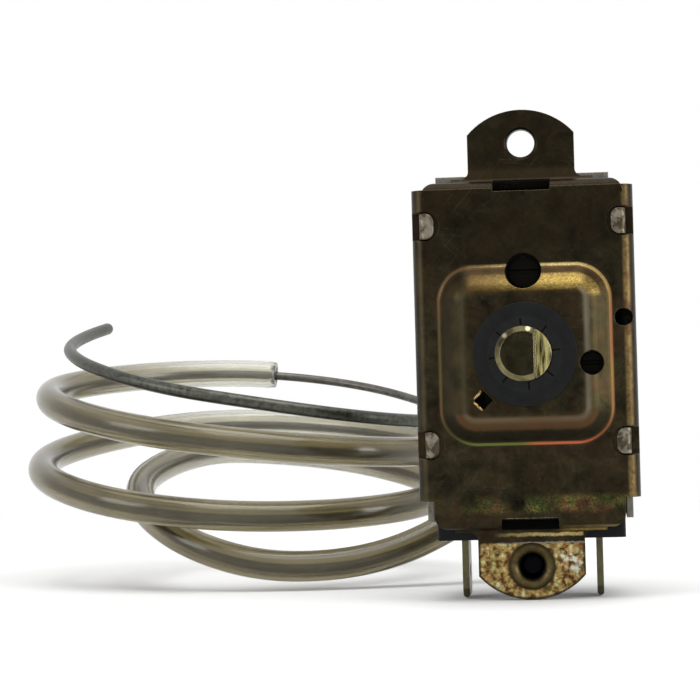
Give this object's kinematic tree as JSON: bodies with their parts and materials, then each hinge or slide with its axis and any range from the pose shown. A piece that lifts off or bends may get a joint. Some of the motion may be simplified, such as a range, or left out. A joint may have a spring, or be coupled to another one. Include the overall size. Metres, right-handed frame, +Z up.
{
  "type": "refrigeration temperature control",
  "caption": "Capillary temperature control: pressed housing with mounting ears, turning D-shaft, cam and lever switch, blade terminals, and a loosely coiled sleeved sensing tube.",
  "frame": {"origin": "midway between the centres of the two ear holes, on the rear face of the ears", "axes": "-Y points the way the shaft does, towards the user; +X is the user's right; +Z is up, along the housing's length"},
  "size_m": [0.0848, 0.0947, 0.0588],
  "materials": {
    "chromated_steel": "satin",
    "zinc_steel": "satin",
    "shaft_brass": "polished",
    "terminal_brass": "satin",
    "black_phenolic": "matte",
    "black_washer": "matte",
    "white_nylon": "satin",
    "spring_steel": "satin",
    "contact_silver": "polished",
    "copper_alloy": "satin",
    "grey_tube": "satin",
    "clear_vinyl": "gloss"
  },
  "bodies": {
    "housing": {"front_cover": "chromated_steel", "inner_frame": "zinc_steel", "rocker_pin": "zinc_steel", "lever_pin": "zinc_steel", "diaphragm": "copper_alloy", "capsule_front": "zinc_steel", "capsule_back": "zinc_steel", "capillary_ferrule": "copper_alloy", "switch_base": "black_phenolic", "left_terminal": "terminal_brass", "right_terminal": "terminal_brass", "fixed_contact": "contact_silver", "blade_rivet": "terminal_brass", "capillary_tube": "grey_tube", "vinyl_sleeve": "clear_vinyl", "sensing_bulb": "grey_tube"},
    "shaft": {"drive_shaft": "shaft_brass", "shaft_washer": "black_washer", "face_cam": "white_nylon"},
    "rocker": {"cam_rocker": "zinc_steel"},
    "range_adjuster": {"range_screw": "terminal_brass"},
    "nut": {"spring_nut": "terminal_brass", "range_spring": "spring_steel"},
    "lever": {"main_lever": "zinc_steel", "insulating_tip": "white_nylon"},
    "pad": {"pressure_pad": "terminal_brass"},
    "contact_arm": {"switch_blade": "copper_alloy", "moving_contact": "contact_silver"},
    "differential_adjuster": {"differential_screw": "terminal_brass"}
  },
  "joints": [
    {"name": "shaft_turn", "type": "hinge", "parent": "housing", "child": "shaft", "pos_m": [0, -0.009, 0], "axis": [0, 1, 0], "range_deg": [-135, 135]},
    {"name": "rocker_tilt", "type": "hinge", "parent": "housing", "child": "rocker", "pos_m": [0, 0.0024, -0.0095], "axis": [1, 0, 0], "range_deg": [-4, 4]},
    {"name": "range_screw_turn", "type": "hinge", "parent": "rocker", "child": "range_adjuster", "pos_m": [0, 0, 0.0099], "axis": [0, 1, 0], "range_deg": [-360, 360]},
    {"name": "nut_travel", "type": "slide", "parent": "rocker", "child": "nut", "axis": [0, 1, 0], "range_m": [-0.0005, 0.0005], "deforming": ["range_spring"]},
    {"name": "lever_tilt", "type": "hinge", "parent": "housing", "child": "lever", "pos_m": [0, 0.0075, 0.0165], "axis": [1, 0, 0], "range_deg": [0, 3]},
    {"name": "pad_push", "type": "slide", "parent": "housing", "child": "pad", "axis": [0, 1, 0], "range_m": [0, 0.00071], "deforming": ["diaphragm"]},
    {"name": "blade_swing", "type": "hinge", "parent": "housing", "child": "contact_arm", "pos_m": [0.0062, 0.006, -0.016], "axis": [0, 0, -1], "range_deg": [0, 5]},
    {"name": "differential_screw_turn", "type": "hinge", "parent": "housing", "child": "differential_adjuster", "pos_m": [0.0078, -0.0012, -0.0012], "axis": [0, 1, 0], "range_deg": [-180, 180]}
  ],
  "couplings": [
    {"joint": "rocker_tilt", "follows": "shaft_turn", "ratio": 0.02963},
    {"joint": "range_screw_turn", "follows": "nut_travel", "rad_per_m": 12566},
    {"joint": "pad_push", "follows": "lever_tilt", "m_per_rad": 0.013369},
    {"joint": "blade_swing", "follows": "lever_tilt", "ratio": 1.6667}
  ]
}
